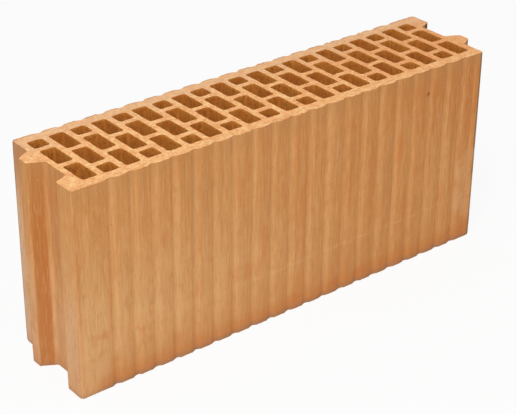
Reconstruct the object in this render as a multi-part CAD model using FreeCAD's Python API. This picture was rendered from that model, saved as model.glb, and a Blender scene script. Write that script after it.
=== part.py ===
import FreeCAD, Part
import math
import os

# A fired clay partition block with tongue and groove ends, one solid, cells upright.
# X runs along the wall, Y through the wall from the front face to the back face, Z up.
# The origin is the middle of the bed face that the block stands on.

# The block as it is laid
FACE_LENGTH = 510.0        # length of each long face, so also one block's length of wall
THICKNESS = 120.0
HEIGHT = 219.0

# Tongue and groove ends. One end is the other turned half round about the upright axis.
TONGUE_DEPTH = 15.5        # how far the tongue stands out of the recess floor
TONGUE_TIP = 13.0          # width of the tongue at its flat tip
TONGUE_FLANK = 8.8         # how far each side of the tongue spreads towards its root
TONGUE_OFFSET = 2.5        # from the middle of the wall to the near foot of the tongue
LAND_DEPTH = 14.0          # how far the end land stands out of the recess floor
LAND_FLANK = 5.5           # how far the one sloping side of the land spreads towards its root
JOINT_CLEARANCE = 5.5      # from a seated tongue tip to the foot of the next block's land

# Cells: rows across the block, with one narrow and two wide cells in each row
CELL_ROWS = 21
WIDE_CELLS = 2
NARROW_CELL = 15.2         # size of the narrow cell through the wall
SHELL = 13.5               # clay between a long face and the first cell
CELL_WEB = 7.0             # clay between two cells of a row
ROW_WEB = 7.4              # clay between two rows
END_WALL = 7.2             # clay between an end's recess floor and the first row
CELL_CORNER = 2.2

# Keying grooves down both long faces, hollowed to an arc, one in front of each row web
GROOVE_MOUTH = 11.0
GROOVE_DEPTH = 2.2

# Rounding that the die leaves on the upright edges
BLOCK_EDGE = 2.5
ROOT_EDGE = 2.0

# Each side of an outline keeps at least a tenth of its length straight
ROUNDED_SHARE = 0.45

# In a laid wall each tongue tip meets the next block's recess floor just as the land beside
# that floor meets the shoulder beside the tongue.
floor_x = (FACE_LENGTH - TONGUE_DEPTH) / 2
tip_x = floor_x + TONGUE_DEPTH
land_x = floor_x + LAND_DEPTH
shoulder_x = FACE_LENGTH - land_x
face_y = THICKNESS / 2

tongue_side = TONGUE_OFFSET + TONGUE_FLANK + TONGUE_TIP      # far side of the tongue tip
recess_edge = tongue_side + JOINT_CLEARANCE

row_length = 2 * floor_x - 2 * END_WALL
cell_length = (row_length - (CELL_ROWS - 1) * ROW_WEB) / CELL_ROWS
row_pitch = cell_length + ROW_WEB
wide_cell = (THICKNESS - 2 * SHELL - NARROW_CELL - WIDE_CELLS * CELL_WEB) / WIDE_CELLS


def rounded_wire(corners):
    """A closed wire through corners (x, y, radius), each turned by an arc tangent to its sides."""
    points = [FreeCAD.Vector(x, y, 0) for x, y, radius in corners]
    edges = []
    arc_ends = []
    for index, (x, y, radius) in enumerate(corners):
        corner = points[index]
        back = points[index - 1] - corner
        ahead = points[(index + 1) % len(points)] - corner
        half_angle = back.getAngle(ahead) / 2
        reach = min(radius / math.tan(half_angle), ROUNDED_SHARE * min(back.Length, ahead.Length))
        radius = reach * math.tan(half_angle)
        back.normalize()
        ahead.normalize()
        inward = (back + ahead).normalize()
        start = corner + back * reach
        end = corner + ahead * reach
        middle = corner + inward * (radius / math.sin(half_angle) - radius)
        arc_ends.append((start, end))
        edges.append(Part.Arc(start, middle, end).toShape())
    for index, (start, end) in enumerate(arc_ends):
        edges.append(Part.makeLine(end, arc_ends[(index + 1) % len(arc_ends)][0]))
    return Part.Wire(Part.__sortEdges__(edges))


def left_end():
    """Corners of the left end, from the back face to the front face."""
    # The back side of the tongue meets the shoulder before it has spread to its full width
    spread_at_shoulder = TONGUE_FLANK * (tip_x - shoulder_x) / TONGUE_DEPTH
    return [
        (-shoulder_x, face_y, BLOCK_EDGE),
        (-shoulder_x, tongue_side + spread_at_shoulder, ROOT_EDGE),
        (-tip_x, tongue_side, BLOCK_EDGE),
        (-tip_x, tongue_side - TONGUE_TIP, BLOCK_EDGE),
        (-floor_x, TONGUE_OFFSET, ROOT_EDGE),
        (-floor_x, -recess_edge, ROOT_EDGE),
        (-land_x, -recess_edge - LAND_FLANK, BLOCK_EDGE),
        (-land_x, -face_y, BLOCK_EDGE),
    ]


def outline():
    """The block's plain outer edge: the left end, then the same end turned half round."""
    left = left_end()
    right = [(-x, -y, radius) for x, y, radius in left]
    return rounded_wire(left + right)


def grooves():
    """The arcs that hollow both long faces, as full discs with their centres off the faces."""
    radius = (GROOVE_MOUTH ** 2 / 4 + GROOVE_DEPTH ** 2) / (2 * GROOVE_DEPTH)
    centre_y = face_y + radius - GROOVE_DEPTH
    discs = []
    for web in range(1, CELL_ROWS):
        groove_x = (web - CELL_ROWS / 2) * row_pitch
        for side in (-1, 1):
            centre = FreeCAD.Vector(groove_x, side * centre_y, 0)
            circle = Part.Circle(centre, FreeCAD.Vector(0, 0, 1), radius)
            discs.append(Part.Face(Part.Wire(circle.toShape())))
    return discs


def cell(centre_x, front_y, width):
    """One cell, as long as its row, with its front wall at front_y and the given width."""
    left = centre_x - cell_length / 2
    right = centre_x + cell_length / 2
    back_y = front_y + width
    return rounded_wire([
        (left, front_y, CELL_CORNER),
        (right, front_y, CELL_CORNER),
        (right, back_y, CELL_CORNER),
        (left, back_y, CELL_CORNER),
    ])


def cells():
    """All cells. The narrow one lies at the back of the first row, then at the front, in turn."""
    wires = []
    for row in range(CELL_ROWS):
        centre_x = (row - (CELL_ROWS - 1) / 2) * row_pitch
        widths = [wide_cell] * WIDE_CELLS + [NARROW_CELL]
        if row % 2:
            widths.reverse()
        front_y = -face_y + SHELL
        for width in widths:
            wires.append(cell(centre_x, front_y, width))
            front_y += width + CELL_WEB
    return wires


def clay_block():
    """The section, pushed straight through the die and cut to height."""
    wires = Part.makeCompound([outline()] + cells())
    section = Part.makeFace(wires, "Part::FaceMakerBullseye").cut(grooves())
    return section.Faces[0].extrude(FreeCAD.Vector(0, 0, HEIGHT))


os.makedirs("parts", exist_ok=True)
clay_block().exportStep("parts/clay_block.step")
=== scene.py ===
import bmesh
import bpy
import math
import random
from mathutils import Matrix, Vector
from mathutils.geometry import delaunay_2d_cdt
from mathutils.kdtree import KDTree


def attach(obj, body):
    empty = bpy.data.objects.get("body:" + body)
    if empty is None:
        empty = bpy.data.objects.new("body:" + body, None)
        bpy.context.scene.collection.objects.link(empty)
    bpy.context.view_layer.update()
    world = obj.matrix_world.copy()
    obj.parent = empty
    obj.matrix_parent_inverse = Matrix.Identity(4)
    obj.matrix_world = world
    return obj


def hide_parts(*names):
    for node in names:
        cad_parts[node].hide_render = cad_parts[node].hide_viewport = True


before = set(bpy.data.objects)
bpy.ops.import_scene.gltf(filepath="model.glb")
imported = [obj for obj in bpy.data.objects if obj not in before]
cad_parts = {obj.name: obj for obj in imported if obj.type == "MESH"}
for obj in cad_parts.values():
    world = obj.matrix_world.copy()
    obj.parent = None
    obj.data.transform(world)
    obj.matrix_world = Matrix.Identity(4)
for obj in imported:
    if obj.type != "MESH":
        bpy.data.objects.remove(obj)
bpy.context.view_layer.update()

MM = 0.001

# The block as it is laid
FACE_LENGTH = 510 * MM
THICKNESS = 120 * MM
HEIGHT = 219 * MM

# Tongue and groove ends
TONGUE_DEPTH = 15.5 * MM
TONGUE_TIP = 13 * MM
TONGUE_FLANK = 8.8 * MM
TONGUE_OFFSET = 2.5 * MM
LAND_DEPTH = 14 * MM
LAND_FLANK = 5.5 * MM
JOINT_CLEARANCE = 5.5 * MM

# Cells
CELL_ROWS = 21
NARROW_CELL = 15.2 * MM
WIDE_CELL = 31.9 * MM
SHELL = 13.5 * MM
CELL_WEB = 7 * MM
ROW_WEB = 7.4 * MM
END_WALL = 7.2 * MM
CELL_CORNER = 2.2 * MM

# Keying grooves, with their lips worn round
GROOVE_WIDTH = 14 * MM
GROOVE_DEPTH = 2.2 * MM
GROOVE_STEPS = 8

# Rounding that the die leaves
BLOCK_EDGE = 2.5 * MM
ROOT_EDGE = 2 * MM
CORNER_STEPS = 3

# The die: how tall its tools are, and how far each core is off its place and turned, in degrees
TOOL_HEIGHT = HEIGHT + 20 * MM
BAR_THICKNESS = 8 * MM
BAR_GAP = 0.03 * MM
CORE_SHIFT = 0.25 * MM
CORE_TURN = 0.6

# Anything further in than both margins stands on the wall of a cell
END_MARGIN = 4 * MM
FACE_MARGIN = 10.5 * MM

# How fine the mesh is: strips down the walls of cells and down the outer walls, and the grid,
# its looseness, its distance from the rims and the bands along the rims of the beds
CELL_STRIP = 3.2 * MM
WALL_STRIP = 2.45 * MM
MOST_CUTS = 13
BED_GRID = 3.3 * MM
BED_STRAY = 0.3
BED_CLEAR = 2.8 * MM
RIM_BANDS = (0.6 * MM, 1.1 * MM)

# How near to a cell still counts as in it
HAIR = 0.4 * MM

# Heights in millimetres of the rings near each bed, and how many more divide the rest
OUTER_RINGS = (0.8, 2.2, 4.2, 7, 11)
OUTER_CUTS = 47
CELL_RINGS = (0.8, 2.2, 5, 10, 18, 36)
CELL_CUTS = 3

# Firing marks on the walls, then painted shadow and painted shade: place and size in millimetres
RED_MARKS = [
    ((-233, -59, 61), 5), ((-183, -59, 37), 4), ((-150, -59, 24), 5), ((-6, -59, 13), 5),
    ((49, -59, 13), 5), ((82, -59, 12), 6), ((216, -59, 17), 5), ((240, -59, 18), 5),
]
GREY_MARKS = [
    ((240, -59, 100), 10), ((238, -59, 66), 13), ((226, -59, 44), 9), ((228, -59, 84), 9),
    ((-238, -59, 26), 10), ((-222, -59, 42), 7), ((246, -59, 42), 11),
]
# Painted shadow, dark grey, on the flanks of the land and the tongue at the right end
FLANK_SHADOW_MARKS = [((258, 34, 216), 4), ((258, -22, 216), 4)]
# A pit, with painted shade laid inside it
SHADED_PIT = (172, -59.6, 191)

# Chips and pits: place and size in millimetres of the stone that each is left by
CHIPS = [
    ((-249, 60.5, 219.5), 2.8), ((261.5, 60.5, 219.5), 3.0), ((-262, -60.5, -0.5), 3.6),
    ((249, -60.5, -0.5), 4), ((-263, 24.5, -0.5), 3.0), ((-249, 60.5, 0), 4),
    (SHADED_PIT, 2.3), ((249.5, -61, 150), 2.2), ((-263, 10.5, 219.8), 2.2),
]
SMALL_CHIPS = 60
CHIP_REACH = 244

# How far the cutting wire tore the walls, up from the foot and down from the top
TORN_LOW = 12 * MM
TORN_HIGH = 8 * MM

# Edges that meet at less than this angle are shaded smooth
SMOOTH_ANGLE = 38

# Planes of an end: recess floor, tongue tip, land and the shoulder beside the tongue
floor_x = (FACE_LENGTH - TONGUE_DEPTH) / 2
tip_x = floor_x + TONGUE_DEPTH
land_x = floor_x + LAND_DEPTH
shoulder_x = FACE_LENGTH - land_x
face_y = THICKNESS / 2
tongue_y = TONGUE_OFFSET + TONGUE_FLANK + TONGUE_TIP / 2
recess_edge = tongue_y + TONGUE_TIP / 2 + JOINT_CLEARANCE
cell_length = (2 * floor_x - 2 * END_WALL - (CELL_ROWS - 1) * ROW_WEB) / CELL_ROWS
row_pitch = cell_length + ROW_WEB

chance = random.Random(7)


def alone(piece):
    """Select one piece and nothing else."""
    bpy.ops.object.select_all(action="DESELECT")
    piece.select_set(True)
    bpy.context.view_layer.objects.active = piece


def open_piece(piece, kind):
    """Go into edit mode on one piece, with nothing selected."""
    alone(piece)
    bpy.ops.object.mode_set(mode="EDIT")
    bpy.ops.mesh.select_mode(type=kind)
    bpy.ops.mesh.select_all(action="DESELECT")


def close_piece():
    bpy.ops.object.mode_set(mode="OBJECT")


def pick(piece, kind, wanted):
    """Select the wanted faces, edges or points, and say whether there are any."""
    mesh = bmesh.from_edit_mesh(piece.data)
    found = False
    for item in getattr(mesh, kind):
        take = bool(wanted(item))
        item.select_set(take)
        found = found or take
    bmesh.update_edit_mesh(piece.data)
    return found


def pick_faces(piece, wanted):
    """Select the faces whose middle and normal are wanted."""
    pick(piece, "faces", lambda face: wanted(face.calc_center_median(), face.normal))


def pick_edges(piece, wanted):
    """Select the edges whose two ends are wanted, and say whether there are any."""
    return pick(piece, "edges", lambda edge: wanted(edge.verts[0].co, edge.verts[1].co))


def pick_points(piece, wanted):
    """Select the points whose place is wanted."""
    mesh = bmesh.from_edit_mesh(piece.data)
    for point in mesh.verts:
        point.select_set(wanted(point.co))
    mesh.select_flush(False)
    bmesh.update_edit_mesh(piece.data)


def near(value, goal, reach=0.02 * MM):
    return abs(value - goal) < reach


def at_rim(at):
    """Whether a point of the flat block stands on a rim, where a wall meets a bed."""
    return near(at.z, 0) or near(at.z, HEIGHT)


def upright(a, b):
    """Whether an edge from a to b stands upright and runs the whole height."""
    return math.hypot(a.x - b.x, a.y - b.y) < 0.01 * MM and abs(a.z - b.z) > HEIGHT * 0.9


def apply_all(piece):
    """Apply every modifier on the piece in order."""
    alone(piece)
    for name in [modifier.name for modifier in piece.modifiers]:
        bpy.ops.object.modifier_apply(modifier=name)


def settle(piece):
    """Put the piece's place, turn and size into its mesh."""
    alone(piece)
    bpy.ops.object.transform_apply(location=True, rotation=True, scale=True)


def box(size, place):
    """A box of the given size with its middle at a place."""
    bpy.ops.object.select_all(action="DESELECT")
    bpy.ops.mesh.primitive_cube_add(size=1, location=place)
    made = bpy.context.object
    made.scale = size
    settle(made)
    return made


def put_copy(piece, place, turn=0.0):
    """A copy with a mesh of its own, moved to its place."""
    copy = piece.copy()
    copy.data = piece.data.copy()
    bpy.context.collection.objects.link(copy)
    copy.location = place
    copy.rotation_euler = (0, 0, turn)
    settle(copy)
    return copy


def join(pieces, name):
    bpy.ops.object.select_all(action="DESELECT")
    for piece in pieces:
        piece.select_set(True)
    bpy.context.view_layer.objects.active = pieces[0]
    bpy.ops.object.join()
    pieces[0].name = name
    return pieces[0]


def wall_of_cell(place):
    return abs(place.x) < floor_x - END_MARGIN and abs(place.y) < face_y - FACE_MARGIN


def half_tongue(out):
    """Half the tongue's width at a distance out from the recess floor."""
    return TONGUE_TIP / 2 + TONGUE_FLANK * (1 - out / TONGUE_DEPTH)


def draw_out(body, wanted, length):
    """Draw the wanted faces out along the wall."""
    pick_faces(body, wanted)
    bpy.ops.mesh.extrude_region_move(TRANSFORM_OT_translate={"value": (length, 0, 0)})


def shift_points(body, wanted, across):
    """Move the wanted points across the wall while the body is open for its faces."""
    close_piece()
    open_piece(body, "VERT")
    pick_points(body, wanted)
    bpy.ops.transform.translate(value=(0, across, 0))
    close_piece()
    open_piece(body, "FACE")


def plain_body():
    """The block before its grooves and cells: a slab with both ends drawn out."""
    body = box((2 * floor_x, THICKNESS, HEIGHT), (0, 0, HEIGHT / 2))
    body.name = "clay_body"
    step = shoulder_x - floor_x
    open_piece(body, "FACE")
    for end in (-1, 1):
        tongue_middle = -end * tongue_y
        for foot in (tongue_y + half_tongue(step), TONGUE_OFFSET, -recess_edge):
            pick_faces(body, lambda at, normal: end * normal.x > 0.9)
            bpy.ops.mesh.bisect(plane_co=(0, -end * foot, 0), plane_no=(0, 1, 0))
        draw_out(body, lambda at, normal: near(at.x, end * floor_x)
                 and -end * at.y > TONGUE_OFFSET, end * step)
        shift_points(body, lambda at: near(at.x, end * shoulder_x)
                     and near(at.y, -end * TONGUE_OFFSET),
                     -end * (half_tongue(0) - half_tongue(step)))
        draw_out(body, lambda at, normal: near(at.x, end * shoulder_x)
                 and abs(at.y - tongue_middle) < half_tongue(step), end * (tip_x - shoulder_x))
        bpy.ops.transform.resize(value=(1, half_tongue(TONGUE_DEPTH) / half_tongue(step), 1),
                                 center_override=(end * tip_x, tongue_middle, HEIGHT / 2))
        draw_out(body, lambda at, normal: near(at.x, end * floor_x)
                 and end * at.y > recess_edge, end * LAND_DEPTH)
        shift_points(body, lambda at: near(at.x, end * land_x) and near(at.y, end * recess_edge),
                     end * LAND_FLANK)
    bpy.ops.mesh.select_all(action="SELECT")
    bpy.ops.mesh.dissolve_limited(angle_limit=math.radians(1))
    close_piece()
    return body


def round_edges(piece, wanted, reach):
    """Round the wanted upright edges, starting the given reach along each side."""
    open_piece(piece, "EDGE")
    pick_edges(piece, lambda a, b: upright(a, b) and wanted(a))
    bpy.ops.mesh.bevel(offset=reach, offset_type="OFFSET", segments=CORNER_STEPS, profile=0.5,
                       affect="EDGES")
    close_piece()


def rounded_body():
    """The body with the rounding of the die on every upright edge."""
    body = plain_body()
    tongue_turn = math.atan2(TONGUE_FLANK, TONGUE_DEPTH)
    land_turn = math.atan2(LAND_FLANK, LAND_DEPTH)
    square = math.pi / 2

    def reach(radius, turn):
        return radius * math.tan(turn / 2)

    for end in (-1, 1):
        tongue_middle = -end * tongue_y
        corners = [
            (shoulder_x, -end * face_y, reach(BLOCK_EDGE, square)),
            (land_x, end * face_y, reach(BLOCK_EDGE, square)),
            (floor_x, end * recess_edge, reach(ROOT_EDGE, square - land_turn)),
            (land_x, end * (recess_edge + LAND_FLANK), reach(BLOCK_EDGE, square - land_turn)),
        ]
        for flank, foot in ((end, floor_x), (-end, shoulder_x)):
            root = tongue_middle + flank * half_tongue(foot - floor_x)
            tip = tongue_middle + flank * TONGUE_TIP / 2
            corners.append((foot, root, reach(ROOT_EDGE, square - tongue_turn)))
            corners.append((tip_x, tip, reach(BLOCK_EDGE, square - tongue_turn)))
        for x, y, length in corners:
            round_edges(body, lambda at: near(at.x, end * x) and near(at.y, y), length)
    return body


def cell_core(width):
    """One core of the die: the shape that leaves one cell, a little taller than the block."""
    core = box((cell_length, width, TOOL_HEIGHT), (0, 0, HEIGHT / 2))
    round_edges(core, lambda at: True, CELL_CORNER)
    open_piece(core, "EDGE")
    for length, axis in ((cell_length, (1, 0, 0)), (width, (0, 1, 0))):
        straight = length - 2 * CELL_CORNER
        parts = max(2, round(straight / CELL_STRIP))
        for part in range(1, parts):
            step = part / parts * straight - straight / 2
            bpy.ops.mesh.select_all(action="SELECT")
            bpy.ops.mesh.bisect(plane_co=[step * value for value in axis], plane_no=axis)
    close_piece()
    return core


def row_middle(row):
    return (row - (CELL_ROWS - 1) / 2) * row_pitch


def row_cells(row):
    """Where each cell of a row begins through the wall, and how wide it is."""
    widths = [WIDE_CELL, WIDE_CELL, NARROW_CELL]
    if row % 2:
        widths.reverse()
    front = -face_y + SHELL
    for width in widths:
        yield front, width
        front += width + CELL_WEB


def die_cores():
    """All 63 cores. No two sit or turn quite alike, as in a worn die."""
    core = {width: cell_core(width) for width in (WIDE_CELL, NARROW_CELL)}
    cores = []
    for row in range(CELL_ROWS):
        for front, width in row_cells(row):
            place = Vector((row_middle(row), front + width / 2, 0))
            place.x += chance.uniform(-CORE_SHIFT, CORE_SHIFT)
            place.y += chance.uniform(-CORE_SHIFT, CORE_SHIFT)
            turn = math.radians(chance.uniform(-CORE_TURN, CORE_TURN))
            cores.append(put_copy(core[width], place, turn))
    for pattern in core.values():
        bpy.data.objects.remove(pattern)
    return join(cores, "die_cores")


def groove_bar():
    """One bar of the die: a flat bar whose back face swells to a soft ridge."""
    bar = box((GROOVE_WIDTH, BAR_THICKNESS, TOOL_HEIGHT), (0, BAR_THICKNESS / 2, HEIGHT / 2))
    open_piece(bar, "VERT")
    slices = [(step / GROOVE_STEPS - 0.5) * GROOVE_WIDTH for step in range(1, GROOVE_STEPS)]
    for across in slices:
        bpy.ops.mesh.select_all(action="SELECT")
        bpy.ops.mesh.bisect(plane_co=(across, 0, 0), plane_no=(1, 0, 0))
    for across in slices:
        swell = GROOVE_DEPTH * (1 + math.cos(2 * math.pi * across / GROOVE_WIDTH)) / 2
        pick_points(bar, lambda at: near(at.x, across) and near(at.y, 0))
        bpy.ops.transform.translate(value=(0, -swell - BAR_GAP, 0))
    close_piece()
    return bar


def groove_bars():
    """The bars of the die that leave the keying grooves down both long faces."""
    bar = groove_bar()
    bars = []
    for web in range(1, CELL_ROWS):
        for side in (-1, 1):
            place = ((web - CELL_ROWS / 2) * row_pitch, side * (face_y + BAR_GAP), 0)
            bars.append(put_copy(bar, place, 0 if side > 0 else math.pi))
    bpy.data.objects.remove(bar)
    return join(bars, "groove_bars")


def cut_away(body, tool, solver="EXACT"):
    """Take the tool's shape out of the body, then put the tool away."""
    cut = body.modifiers.new("cut", "BOOLEAN")
    cut.operation = "DIFFERENCE"
    cut.solver = solver
    cut.object = tool
    apply_all(body)
    bpy.data.objects.remove(tool)


def on_flank(at):
    """Whether a point lies on a side of a tongue or of a land."""
    end = math.copysign(1, at.x)
    out = abs(at.x) - floor_x
    if not 0 < out < TONGUE_DEPTH:
        return False
    off_tongue = abs(at.y + end * tongue_y) - half_tongue(out)
    off_land = end * at.y - recess_edge - out / LAND_DEPTH * LAND_FLANK
    return near(off_tongue, 0, 0.05 * MM) or near(off_land, 0, 0.05 * MM)


def on_outline(at):
    """Whether a point at the middle of an edge lies on the outer wall and not within a bed."""
    on_end = any(near(abs(at.x), plane) for plane in (floor_x, shoulder_x, land_x, tip_x))
    return near(abs(at.y), face_y) or on_end or on_flank(at)


def open_beds(body):
    """Take off both bed faces, and the stray edges and points that cutting left there."""
    open_piece(body, "FACE")
    pick_faces(body, lambda at, normal: abs(normal.z) > 0.5)
    bpy.ops.mesh.delete(type="ONLY_FACE")
    bpy.ops.mesh.select_mode(type="EDGE")
    pick(body, "edges", lambda edge: not edge.link_faces)
    bpy.ops.mesh.delete(type="EDGE")
    bpy.ops.mesh.select_mode(type="VERT")
    pick(body, "verts", lambda point: len(point.link_edges) == 2)
    bpy.ops.mesh.dissolve_verts()
    close_piece()


def divide_sides(body):
    """Columns down the flat stretches of the outer walls, about as wide as a groove's steps."""
    open_piece(body, "EDGE")
    for cuts in range(1, MOST_CUTS + 1):
        def flat(a, b):
            level = at_rim(a) and near(a.z, b.z)
            on_wall = on_outline((a + b) / 2) and not wall_of_cell(a)
            return level and on_wall and round((a - b).length / WALL_STRIP) - 1 == cuts
        if pick_edges(body, flat):
            bpy.ops.mesh.subdivide(number_cuts=cuts)
    close_piece()


def inside(loop, at):
    """Whether a point lies inside a closed run of edges."""
    crossings = 0
    for a, b in loop:
        if (a.y > at.y) != (b.y > at.y):
            crossings += at.x < a.x + (at.y - a.y) / (b.y - a.y) * (b.x - a.x)
    return crossings % 2 == 1


def cell_holds(x, y):
    """Whether a point lies in a cell, or within a hair of one."""
    row = round(x / row_pitch + (CELL_ROWS - 1) / 2)
    if not 0 <= row < CELL_ROWS or abs(x - row_middle(row)) > cell_length / 2 + HAIR:
        return False
    return any(front - HAIR < y < front + width + HAIR for front, width in row_cells(row))


def bed_points(rim, loop):
    """The points on the rims of one bed, then a loose grid of points in the clay between."""
    rims = KDTree(len(rim))
    for index, point in enumerate(rim):
        rims.insert((point.x, point.y, 0), index)
    rims.balance()
    points = list(rim)
    columns = int(tip_x / BED_GRID)
    lines = int(face_y / BED_GRID)
    for column in range(-columns, columns + 1):
        for line in range(-lines, lines + 1):
            x = (column + chance.uniform(-BED_STRAY, BED_STRAY)) * BED_GRID
            y = (line + chance.uniform(-BED_STRAY, BED_STRAY)) * BED_GRID
            near_rim, index, gap = rims.find((x, y, 0))
            in_cell = wall_of_cell(near_rim) and cell_holds(x, y)
            if gap > BED_CLEAR and not in_cell and inside(loop, Vector((x, y))):
                points.append(Vector((x, y)))
    return points


def close_beds(body):
    """Fill both bed faces again, with two narrow bands round every rim."""
    for level in (0, HEIGHT):
        open_piece(body, "FACE")
        mesh = bmesh.from_edit_mesh(body.data)
        rim = [point for point in mesh.verts if near(point.co.z, level)]
        order = {point: index for index, point in enumerate(rim)}
        edges = [edge for edge in mesh.edges if edge.is_boundary and edge.verts[0] in order]
        loop = [(edge.verts[0].co.xy, edge.verts[1].co.xy) for edge in edges
                if not wall_of_cell(edge.verts[0].co)]
        points = bed_points([point.co.xy for point in rim], loop)
        pairs = [(order[edge.verts[0]], order[edge.verts[1]]) for edge in edges]
        spots, _, triangles = delaunay_2d_cdt(points, pairs, [], 0, 1e-7)[:3]
        corners = rim + [mesh.verts.new((spot.x, spot.y, level)) for spot in spots[len(rim):]]
        for triangle in triangles:
            middle = sum((spots[index] for index in triangle), Vector((0, 0))) / 3
            if not inside(loop, middle) or over_cell(corners, len(rim), triangle, middle):
                continue
            face = mesh.faces.new([corners[index] for index in triangle])
            if (face.normal.z < 0) == (level > 0):
                face.normal_flip()
        bmesh.update_edit_mesh(body.data)
        mesh.normal_update()
        pick_faces(body, lambda at, normal: near(at.z, level) and abs(normal.z) > 0.5)
        for band in RIM_BANDS:
            bpy.ops.mesh.inset(use_boundary=True, use_even_offset=True, thickness=band, depth=0)
        close_piece()


def over_cell(corners, on_rims, triangle, middle):
    """Whether a triangle lies over a cell, with all its corners on the rims of cells."""
    return (cell_holds(*middle) and max(triangle) < on_rims
            and all(wall_of_cell(corners[index].co) for index in triangle))


def outer_wall(at, normal):
    return abs(normal.z) < 0.5 and not wall_of_cell(at)


def cell_wall(at, normal):
    return abs(normal.z) < 0.5 and wall_of_cell(at)


def ring_walls(body):
    """Rings round the outer walls and down the cells, close together near both beds."""
    for walls, levels in ((outer_wall, OUTER_RINGS), (cell_wall, CELL_RINGS)):
        for level in levels:
            for height in (level * MM, HEIGHT - level * MM):
                open_piece(body, "FACE")
                pick_faces(body, walls)
                bpy.ops.mesh.bisect(plane_co=(0, 0, height), plane_no=(0, 0, 1))
                close_piece()
    for in_cells, low, cuts in ((False, OUTER_RINGS[-1] * MM, OUTER_CUTS),
                                (True, CELL_RINGS[-1] * MM, CELL_CUTS)):
        open_piece(body, "EDGE")
        pick_edges(body, lambda a, b: near(min(a.z, b.z), low)
                   and near(max(a.z, b.z), HEIGHT - low) and wall_of_cell(a) == in_cells)
        bpy.ops.mesh.subdivide(number_cuts=cuts)
        close_piece()


def name_region(body, name, wanted):
    """Keep the wanted points as a named group."""
    open_piece(body, "VERT")
    pick_points(body, wanted)
    bpy.ops.object.vertex_group_add()
    body.vertex_groups.active.name = name
    bpy.ops.object.vertex_group_assign()
    close_piece()


def relief(body, region, depth, grain, tall=1.0, detail=2, middle=1.0):
    """Work a cloudy relief into a region, never outwards while the middle stays at 1."""
    bpy.ops.object.select_all(action="DESELECT")
    place = [chance.uniform(-1, 1) for axis in range(3)]
    bpy.ops.object.empty_add(location=place)
    frame_of_grain = bpy.context.object
    frame_of_grain.scale = (grain, grain, grain * tall)
    clouds = bpy.data.textures.new("relief", "CLOUDS")
    clouds.noise_scale = 1.0
    clouds.noise_depth = detail
    work = body.modifiers.new("relief", "DISPLACE")
    work.texture = clouds
    work.texture_coords = "OBJECT"
    work.texture_coords_object = frame_of_grain
    work.vertex_group = region
    work.mid_level = middle
    work.strength = depth
    apply_all(body)
    bpy.data.objects.remove(frame_of_grain)
    bpy.data.textures.remove(clouds)


def stone(place, size, flat=1.0):
    """A rough stone that leaves a chip or a pit where it is taken out."""
    bpy.ops.object.select_all(action="DESELECT")
    bpy.ops.mesh.primitive_ico_sphere_add(subdivisions=3, radius=1, location=(0, 0, 0))
    piece = bpy.context.object
    piece.rotation_euler = [chance.uniform(0, 6.28) for axis in range(3)]
    piece.scale = (size * flat, size, size * chance.uniform(0.6, 0.9))
    settle(piece)
    relief(piece, "", size * 0.7, size * 0.8, middle=0.5)
    piece.location = place
    settle(piece)
    return piece


def tint(red, green, blue):
    """A colour from its values on a screen, 0 to 255."""
    def linear(value):
        value /= 255
        return value / 12.92 if value < 0.04045 else ((value + 0.055) / 1.055) ** 2.4
    return (linear(red), linear(green), linear(blue), 1)


def node(tree, kind, inputs=None, **settings):
    """Add a node, with its settings and with values or other nodes' outputs at its inputs."""
    made = tree.nodes.new(kind)
    for name, value in settings.items():
        setattr(made, name, value)
    for name, value in (inputs or {}).items():
        if isinstance(value, bpy.types.NodeSocket):
            tree.links.new(value, made.inputs[name])
        else:
            made.inputs[name].default_value = value
    return made


def fresh_tree(name):
    material = bpy.data.materials.new(name)
    material.use_nodes = True
    material.node_tree.nodes.clear()
    return material, material.node_tree


def stretched(tree, scale):
    """The piece's own coordinates, stretched."""
    own = node(tree, "ShaderNodeTexCoord").outputs["Object"]
    return node(tree, "ShaderNodeMapping", {"Vector": own, "Scale": scale}).outputs[0]


def cloud(tree, where, scale, detail=3.0, rough=0.55):
    inputs = {"Vector": where, "Scale": scale, "Detail": detail, "Roughness": rough}
    return node(tree, "ShaderNodeTexNoise", inputs).outputs["Fac"]


def span(tree, value, low, high, start=0.0, end=1.0):
    """Pass softly from start to end while a value goes from low to high."""
    inputs = {"Value": value, "From Min": low, "From Max": high, "To Min": start, "To Max": end}
    return node(tree, "ShaderNodeMapRange", inputs,
                interpolation_type="SMOOTHSTEP").outputs["Result"]


def maths(tree, operation, *values):
    inputs = dict(enumerate(values))
    return node(tree, "ShaderNodeMath", inputs, operation=operation).outputs[0]


def times(tree, *values):
    """The product of all the values."""
    product = values[0]
    for value in values[1:]:
        product = maths(tree, "MULTIPLY", product, value)
    return product


def plus(tree, one, other):
    return maths(tree, "ADD", one, other)


def blend(tree, share, under, over):
    """Lay one colour over another by a share from 0 to 1."""
    return node(tree, "ShaderNodeMix", {0: share, 6: under, 7: over}, data_type="RGBA").outputs[2]


def lay(tree, colour, share, red, green, blue):
    """Lay a colour, given as on a screen, over the one that is there by a share from 0 to 1."""
    return blend(tree, share, colour, tint(red, green, blue))


def places(tree):
    """The piece's own three coordinates."""
    own = node(tree, "ShaderNodeTexCoord").outputs["Object"]
    return node(tree, "ShaderNodeSeparateXYZ", {0: own}).outputs


def between(tree, value, low, high, soft):
    """A share that is 1 from low to high, in millimetres, and fades out softly past both."""
    return times(tree, span(tree, value, (low - soft) * MM, low * MM),
                 span(tree, value, (high + soft) * MM, high * MM))


def specks(tree, scale, size, share):
    """Round specks, one on about the given share of the spots of a loose grid."""
    where = stretched(tree, (1, 1, 1))
    spots = node(tree, "ShaderNodeTexVoronoi", {"Vector": where, "Scale": scale})
    disc = span(tree, spots.outputs["Distance"], size, size * 0.5)
    luck = node(tree, "ShaderNodeSeparateColor", {0: spots.outputs["Color"]}).outputs[0]
    return times(tree, disc, span(tree, luck, 1 - share, 1 - share + 0.02))


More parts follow.
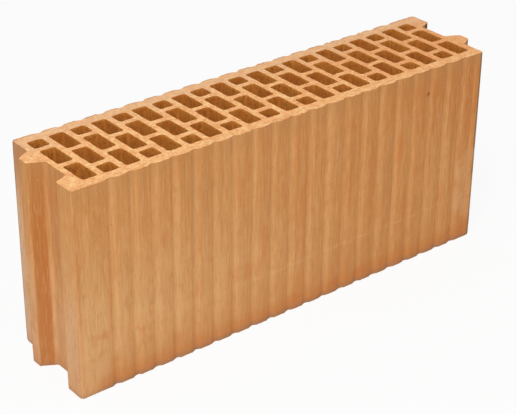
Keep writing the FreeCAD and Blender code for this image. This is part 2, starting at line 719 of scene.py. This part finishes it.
def finish_clay(tree, colour, roughness, height, strength, distance):
    """The shader of one clay, with the relief that is too fine for the mesh."""
    bump = node(tree, "ShaderNodeBump",
                {"Height": height, "Strength": strength, "Distance": distance})
    shader = node(tree, "ShaderNodeBsdfPrincipled",
                  {"Base Color": colour, "Roughness": roughness, "Normal": bump.outputs[0],
                   "Specular IOR Level": 0.1})
    node(tree, "ShaderNodeOutputMaterial", {"Surface": shader.outputs[0]})


def mark(tree, own, place, size, ragged):
    """A blotch with a ragged edge round one place."""
    gap = node(tree, "ShaderNodeVectorMath", {0: own, 1: [value * MM for value in place]},
               operation="DISTANCE").outputs["Value"]
    gap = plus(tree, gap, times(tree, plus(tree, ragged, -0.5), size * 2.5 * MM))
    return span(tree, gap, size * 1.6 * MM, size * 0.5 * MM)


def lay_marks(tree, colour, own, marks, ragged, share, red, green, blue):
    """Lay one colour over all the marks of a list."""
    for place, size in marks:
        blotch = times(tree, mark(tree, own, place, size, ragged), share)
        colour = lay(tree, colour, blotch, red, green, blue)
    return colour


def end_places(tree):
    """How far out of the recess floor a point lies, and how far round towards the tongue."""
    x, y, z = places(tree)
    out = plus(tree, maths(tree, "ABSOLUTE", x), -floor_x)
    return out, times(tree, maths(tree, "SIGN", x), y, -1.0)


def paint_groove_light_and_shade(tree, colour, x, off_middle):
    """Painted shade and highlights along each groove: a dark band, a lit lip and a pale bed."""
    gap = maths(tree, "WRAP", plus(tree, x, row_pitch / 2), row_pitch / 2, -row_pitch / 2)
    beside = times(tree, span(tree, off_middle, 0.057, 0.0575),
                   span(tree, maths(tree, "ABSOLUTE", x), 0.2425, 0.2405))
    # Painted shade beside each groove, a painted highlight on its steep lip and a paler one on its
    # bed
    for low, high, soft, share, over in ((-10.5, -7, 2, 0.08, (174, 98, 42)),
                                         (-5.6, -3.6, 2, 0.4, (240, 160, 88)),
                                         (-1.5, 3, 2.5, 0.14, (218, 178, 122))):
        band = times(tree, between(tree, gap, low, high, soft), beside, share)
        colour = lay(tree, colour, band, *over)
    return colour


def shade_ends(tree, colour, height, off_middle):
    """The colours of the two ends, each on the tongue, its shoulder, the recess and the land, with
    painted shade and a painted highlight.
    """
    out, round_tongue = end_places(tree)
    on_end = times(tree, span(tree, out, -0.002, 0.001), span(tree, off_middle, 0.0598, 0.0588))
    paler = times(tree, on_end, span(tree, height, 0.14, 0.03, 0.05, 0.75))
    colour = lay(tree, colour, paler, 214, 166, 126)
    shoulder = times(tree, span(tree, round_tongue, 0.024, 0.03), span(tree, out, -0.002, 0.001))
    colour = lay(tree, colour, times(tree, shoulder, 0.6), 212, 178, 150)
    # Painted shade at the top of the shoulder, beside the back of the tongue
    top = times(tree, span(tree, height, 0.165, 0.205), shoulder)
    colour = lay(tree, colour, times(tree, top, 0.6), 166, 112, 74)
    flank = times(tree, between(tree, out, 3.5, 13.5, 2), between(tree, round_tongue, 0.5, 13, 2))
    colour = lay(tree, colour, times(tree, flank, 0.85), 182, 114, 56)
    # A painted highlight in a narrow line along the root of the tongue
    root = times(tree, between(tree, out, 0.3, 1.8, 1), between(tree, round_tongue, 0, 3.5, 1))
    colour = lay(tree, colour, times(tree, root, 0.1), 232, 180, 118)
    # Painted shade on the recess floor, strongest towards the top
    recess = times(tree, between(tree, out, -1, 0.6, 1), between(tree, round_tongue, -26, -1, 1),
                   span(tree, height, 0.02, 0.14, 0.12, 0.4))
    colour = lay(tree, colour, recess, 180, 116, 64)
    corner = times(tree, span(tree, out, 0.006, 0.01), span(tree, round_tongue, -0.056, -0.0585))
    return lay(tree, colour, times(tree, corner, 0.3), 182, 122, 70)


def shade_walls(tree, colour, patch):
    """The slow changes of colour over the outer walls, paler low on the left and deeper high on the
    right, with the painted shade and highlights of the ends and grooves.
    """
    x, y, z = places(tree)
    loose = times(tree, plus(tree, patch, -0.5), 0.07)
    along = plus(tree, x, loose)
    height = plus(tree, z, loose)
    off_middle = maths(tree, "ABSOLUTE", y)
    pale = times(tree, span(tree, along, 0.13, -0.22), span(tree, height, 0.2, 0.05))
    colour = lay(tree, colour, times(tree, pale, 0.85), 216, 166, 112)
    deep = times(tree, span(tree, along, -0.02, 0.24), span(tree, height, 0.08, 0.2))
    colour = lay(tree, colour, times(tree, deep, 0.6), 184, 112, 54)
    colour = shade_ends(tree, colour, height, off_middle)
    strip = times(tree, span(tree, x, -0.249, -0.255), span(tree, off_middle, 0.058, 0.0595),
                  span(tree, height, 0.12, 0.03))
    colour = lay(tree, colour, times(tree, strip, 0.4), 240, 186, 134)
    return paint_groove_light_and_shade(tree, colour, x, off_middle)


def shade_edges(tree, colour, fleck):
    """Darker, redder clay near the foot and a painted shadow along it, painted shade down both
    outer edges of the shoulders, and a rubbed line half way.
    """
    x, y, z = places(tree)
    ragged = times(tree, plus(tree, fleck, -0.5), 0.012)
    far_left = span(tree, x, -0.25, -0.225, 0.12, 1)
    warm = times(tree, span(tree, plus(tree, z, times(tree, ragged, 2)), 0.056, 0.02), far_left,
                 span(tree, x, -0.21, 0.02, 1, 0.4))
    colour = lay(tree, colour, times(tree, warm, 0.35), 190, 122, 62)
    low = times(tree, span(tree, plus(tree, z, ragged), 0.026, 0.004), far_left)
    colour = lay(tree, colour, times(tree, low, 0.6), 194, 118, 62)
    high = times(tree, span(tree, plus(tree, z, ragged), 0.194, 0.214), 0.3)
    colour = lay(tree, colour, high, 184, 132, 80)
    line = between(tree, plus(tree, z, times(tree, ragged, 0.4)), 54, 55, 2)
    broken_up = times(tree, span(tree, x, -0.2, -0.05), span(tree, fleck, 0.35, 0.65, 0.03, 0.2))
    colour = lay(tree, colour, times(tree, line, broken_up), 232, 182, 132)
    # A painted shadow in a thin dark line along the foot, where the block meets the floor
    foot = times(tree, span(tree, plus(tree, z, times(tree, ragged, 0.2)), 0.0085, 0.0012),
                 span(tree, x, -0.25, -0.225, 0.3, 0.5))
    colour = lay(tree, colour, foot, 144, 118, 96)
    out, round_tongue = end_places(tree)
    # Painted shade down the rounded outer edge of each shoulder, which turns away from the light
    edge = times(tree, between(tree, out, -1.6, 1.4, 1.5), span(tree, round_tongue, 0.0565, 0.0585))
    return lay(tree, colour, times(tree, edge, 0.7), 124, 90, 64)


def pressed_clay():
    """The outer walls: clay smeared along the die, streaked from top to bottom."""
    material, tree = fresh_tree("pressed_clay")
    run = stretched(tree, (1, 1, 0.02))
    wide_run = stretched(tree, (1, 1, 0.05))
    own = stretched(tree, (1, 1, 1))
    streak = cloud(tree, run, 190, 4, 0.55)
    dash = cloud(tree, stretched(tree, (1, 1, 0.12)), 560, 3, 0.6)
    hair = cloud(tree, wide_run, 420, 4, 0.65)
    band = cloud(tree, wide_run, 60, 3)
    smear = cloud(tree, stretched(tree, (1, 1, 0.4)), 55, 4, 0.6)
    patch = cloud(tree, own, 15, 4)
    fleck = cloud(tree, own, 90, 5, 0.65)
    grain = cloud(tree, own, 1400, 3, 0.7)
    colour = blend(tree, span(tree, streak, 0.3, 0.7), tint(196, 134, 77), tint(208, 149, 91))
    colour = shade_walls(tree, colour, patch)
    colour = lay(tree, colour, span(tree, hair, 0.5, 0.68, 0, 0.25), 226, 174, 120)
    colour = lay(tree, colour, span(tree, hair, 0.48, 0.34, 0, 0.22), 180, 114, 60)
    colour = lay(tree, colour, span(tree, band, 0.5, 0.7, 0, 0.3), 198, 120, 64)
    colour = lay(tree, colour, span(tree, dash, 0.52, 0.66, 0, 0.22), 176, 108, 56)
    colour = lay(tree, colour, span(tree, dash, 0.48, 0.36, 0, 0.2), 228, 176, 122)
    colour = lay(tree, colour, span(tree, patch, 0.48, 0.72, 0, 0.3), 192, 144, 92)
    colour = lay(tree, colour, span(tree, smear, 0.54, 0.68, 0, 0.28), 202, 120, 66)
    colour = lay(tree, colour, span(tree, fleck, 0.52, 0.72, 0, 0.35), 196, 124, 68)
    colour = shade_edges(tree, colour, fleck)
    colour = lay_marks(tree, colour, own, RED_MARKS, fleck, 0.2, 190, 98, 52)
    colour = lay_marks(tree, colour, own, GREY_MARKS, fleck, 0.4, 214, 162, 114)
    # Painted shadow on the flanks of the land and the tongue at the right end
    colour = lay_marks(tree, colour, own, FLANK_SHADOW_MARKS, fleck, 0.85, 96, 70, 52)
    # Painted shade in the pit
    colour = lay_marks(tree, colour, own, [(SHADED_PIT, 2.6)], grain, 0.85, 146, 78, 28)
    colour = lay(tree, colour, times(tree, specks(tree, 260, 0.16, 0.14), 0.5), 240, 192, 138)
    colour = lay(tree, colour, times(tree, specks(tree, 210, 0.14, 0.08), 0.55), 140, 78, 40)
    height = plus(tree, times(tree, hair, 0.6), times(tree, grain, 0.4))
    finish_clay(tree, colour, span(tree, grain, 0.3, 0.7, 0.78, 0.92), height, 0.45, 0.0004)
    return material


def cut_clay():
    """The beds: clay torn by the cutting wire, paler and sandier than the walls."""
    material, tree = fresh_tree("cut_clay")
    own = stretched(tree, (1, 1, 1))
    grain = cloud(tree, own, 900, 4, 0.7)
    crumb = cloud(tree, own, 270, 4, 0.7)
    torn = cloud(tree, stretched(tree, (1, 0.12, 1)), 500, 3)
    patch = cloud(tree, own, 25, 3)
    mottle = cloud(tree, own, 115, 3, 0.6)
    x, y, z = places(tree)
    stray = plus(tree, patch, -0.5)
    colour = blend(tree, span(tree, grain, 0.35, 0.65), tint(234, 171, 111), tint(251, 198, 139))
    colour = lay(tree, colour, span(tree, crumb, 0.5, 0.62, 0, 0.75), 220, 146, 88)
    colour = lay(tree, colour, span(tree, crumb, 0.46, 0.36, 0, 0.65), 255, 218, 164)
    colour = lay(tree, colour, span(tree, patch, 0.45, 0.7, 0, 0.4), 240, 174, 114)
    colour = lay(tree, colour, span(tree, mottle, 0.5, 0.64, 0, 0.5), 224, 150, 92)
    colour = lay(tree, colour, span(tree, mottle, 0.46, 0.34, 0, 0.5), 250, 208, 150)
    warm = times(tree, span(tree, plus(tree, x, times(tree, stray, 0.3)), 0, 0.2),
                 span(tree, maths(tree, "ABSOLUTE", y), 0.053, 0.043))
    colour = lay(tree, colour, times(tree, warm, 0.4), 226, 148, 94)
    back = plus(tree, y, times(tree, stray, 0.05))
    colour = lay(tree, colour, span(tree, back, 0.01, 0.056, 0, 0.5), 226, 184, 146)
    rim = span(tree, plus(tree, y, times(tree, crumb, 0.001)), 0.0578, 0.0592, 0, 0.5)
    colour = lay(tree, colour, rim, 188, 130, 84)
    colour = lay(tree, colour, times(tree, specks(tree, 420, 0.2, 0.2), 0.6), 206, 136, 80)
    colour = lay(tree, colour, times(tree, specks(tree, 300, 0.2, 0.12), 0.6), 255, 226, 184)
    height = plus(tree, times(tree, grain, 0.4),
                  plus(tree, times(tree, torn, 0.2), times(tree, crumb, 0.6)))
    finish_clay(tree, colour, 0.9, height, 0.9, 0.0008)
    return material


def cell_clay():
    """The walls of the cells, rubbed by the cores of the die: browner, partly as painted shade and
    bounced light of the deep cells.
    """
    material, tree = fresh_tree("cell_clay")
    own = stretched(tree, (1, 1, 1))
    streak = cloud(tree, stretched(tree, (1, 1, 0.05)), 380, 4, 0.6)
    crumb = cloud(tree, own, 300, 4, 0.7)
    patch = cloud(tree, own, 40, 3)
    grain = cloud(tree, own, 1300, 3, 0.7)
    colour = blend(tree, span(tree, streak, 0.3, 0.7), tint(188, 116, 44), tint(202, 131, 57))
    colour = lay(tree, colour, span(tree, crumb, 0.5, 0.66, 0, 0.55), 128, 70, 26)
    colour = lay(tree, colour, span(tree, crumb, 0.46, 0.34, 0, 0.4), 206, 142, 74)
    colour = lay(tree, colour, span(tree, patch, 0.4, 0.7, 0, 0.4), 170, 90, 38)
    height = plus(tree, times(tree, streak, 0.4), times(tree, grain, 0.3))
    height = plus(tree, height, times(tree, crumb, 0.5))
    finish_clay(tree, colour, 0.88, height, 0.6, 0.0007)
    return material


def broken_clay():
    """The inside of chips and pits: rough and a little deeper in colour."""
    material, tree = fresh_tree("broken_clay")
    own = stretched(tree, (1, 1, 1))
    grain = cloud(tree, own, 900, 5, 0.75)
    colour = blend(tree, span(tree, grain, 0.3, 0.7), tint(192, 120, 66), tint(222, 154, 94))
    # Painted shadow on the flanks at the right end, where chips cut into them
    colour = lay_marks(tree, colour, own, FLANK_SHADOW_MARKS, grain, 0.8, 96, 60, 36)
    # Painted shade in the pit
    colour = lay_marks(tree, colour, own, [(SHADED_PIT, 3)], grain, 0.95, 140, 72, 24)
    finish_clay(tree, colour, 0.93, grain, 0.9, 0.0008)
    return material


def give(body, material, wanted):
    """Give the wanted faces a material of their own."""
    body.data.materials.append(material)
    open_piece(body, "FACE")
    pick_faces(body, wanted)
    body.active_material_index = len(body.data.materials) - 1
    bpy.ops.object.material_slot_assign()
    close_piece()


def shape_block():
    """The block as it comes from the die and the cutting wire."""
    body = rounded_body()
    cut_away(body, groove_bars())
    cut_away(body, die_cores())
    open_beds(body)
    divide_sides(body)
    close_beds(body)
    ring_walls(body)
    return body


def roughen(body):
    """The uneven walls, the torn beds and the worn rims."""
    name_region(body, "rims", at_rim)
    name_region(body, "foot", lambda at: near(at.z, 0) and on_outline(at))
    name_region(body, "by_rims", lambda at: not at_rim(at)
                and (at.z < 1 * MM or at.z > HEIGHT - 1 * MM))
    name_region(body, "walls", lambda at: not wall_of_cell(at)
                and 0.5 * MM < at.z < HEIGHT - 0.5 * MM)
    name_region(body, "torn", lambda at: not wall_of_cell(at) and not at_rim(at)
                and (at.z < TORN_LOW or at.z > HEIGHT - TORN_HIGH))
    name_region(body, "cells", wall_of_cell)

    relief(body, "walls", 0.35 * MM, 34 * MM, tall=5)
    relief(body, "walls", 0.3 * MM, 3 * MM, tall=60, detail=3)
    relief(body, "torn", 0.25 * MM, 2.2 * MM)
    relief(body, "rims", 0.3 * MM, 5 * MM)
    relief(body, "cells", 0.5 * MM, 9 * MM, tall=8, middle=0.5)
    relief(body, "rims", 0.9 * MM, 3 * MM, detail=3)
    relief(body, "foot", 0.9 * MM, 3 * MM, detail=3, middle=1.1)
    relief(body, "by_rims", 0.3 * MM, 4 * MM)


def chip(body):
    """Chips along the long edges and at the corners, and a few pits."""
    stones = [stone([value * MM for value in place], size * MM) for place, size in CHIPS]
    for count in range(SMALL_CHIPS):
        x = chance.uniform(-CHIP_REACH, CHIP_REACH) * MM
        y = chance.choice((-1, -1, 1)) * (face_y + 0.5 * MM)
        z = chance.choice((-0.4 * MM, HEIGHT + 0.4 * MM, HEIGHT + 0.4 * MM))
        stones.append(stone((x, y, z), chance.uniform(0.9, 2.0) * MM, chance.uniform(1, 2.4)))
    stones = join(stones, "stones")
    broken = broken_clay()
    stones.data.materials.append(broken)
    body.data.materials.append(broken)
    cut_away(body, stones, "MANIFOLD")


body = shape_block()
give(body, pressed_clay(), outer_wall)
give(body, cut_clay(), lambda at, normal: abs(normal.z) >= 0.5)
give(body, cell_clay(), cell_wall)
roughen(body)
chip(body)
body.name = "clay_block_skin"
alone(body)
bpy.ops.object.shade_smooth_by_angle(angle=math.radians(SMOOTH_ANGLE))

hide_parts("clay_block")
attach(body, "root")


def seen_directly(tree):
    """A share that is 1 for what is looked at, in a mirror or through glass too."""
    rays = node(tree, "ShaderNodeLightPath").outputs
    return plus(tree, plus(tree, rays["Is Camera Ray"], rays["Is Glossy Ray"]),
                rays["Is Transmission Ray"])


def stage_floor():
    """A plain pale floor."""
    bpy.ops.object.select_all(action="DESELECT")
    bpy.ops.mesh.primitive_plane_add(size=14, location=(0, 0, 0))
    floor = bpy.context.object
    floor.name = "floor"
    material, tree = fresh_tree("pale_floor")
    plain = node(tree, "ShaderNodeBsdfDiffuse", {"Color": (0.8, 0.8, 0.8, 1)})
    white = node(tree, "ShaderNodeEmission", {"Color": (1, 1, 1, 1), "Strength": 1.0})
    share = times(tree, seen_directly(tree), 0.9)
    mixed = node(tree, "ShaderNodeMixShader", {0: share, 1: plain.outputs[0], 2: white.outputs[0]})
    node(tree, "ShaderNodeOutputMaterial", {"Surface": mixed.outputs[0]})
    floor.data.materials.append(material)


def soft_light(name, place, size, power):
    """A round lamp that faces the middle of the block."""
    bpy.ops.object.select_all(action="DESELECT")
    bpy.ops.object.light_add(type="AREA", location=place)
    lamp = bpy.context.object
    lamp.name = name
    lamp.data.shape = "DISK"
    lamp.data.size = size
    lamp.data.energy = power
    aim = Vector((0, 0, 0.1)) - Vector(place)
    lamp.rotation_euler = aim.to_track_quat("-Z", "Y").to_euler()


def studio():
    """Plain soft light: a large lamp at the front left, a weaker one at the right, a pale sky."""
    soft_light("key_lamp", (-1.6, -1.2, 2.5), 1.5, 66)
    soft_light("fill_lamp", (1.6, -2.2, 1.6), 2.0, 7)
    world = bpy.data.worlds.new("studio")
    bpy.context.scene.world = world
    world.use_nodes = True
    tree = world.node_tree
    tree.nodes.clear()
    light = node(tree, "ShaderNodeBackground", {"Color": (1, 1, 1, 1), "Strength": 0.45})
    white = node(tree, "ShaderNodeBackground", {"Color": (1, 1, 1, 1), "Strength": 1.0})
    mixed = node(tree, "ShaderNodeMixShader",
                 {0: seen_directly(tree), 1: light.outputs[0], 2: white.outputs[0]})
    node(tree, "ShaderNodeOutputWorld", {"Surface": mixed.outputs[0]})


def camera():
    """The photograph's viewing angle."""
    bpy.ops.object.select_all(action="DESELECT")
    turn = [math.radians(angle) for angle in (61.5603, -0.4747, -38.8243)]
    bpy.ops.object.camera_add(location=(-0.8699, -1.0655, 0.8367), rotation=turn)
    eye = bpy.context.object
    eye.name = "camera"
    eye.data.lens = 106.99
    eye.data.sensor_width = 36
    eye.data.clip_end = 50
    bpy.context.scene.camera = eye


stage_floor()
studio()
camera()
bpy.context.scene.view_settings.view_transform = "Standard"
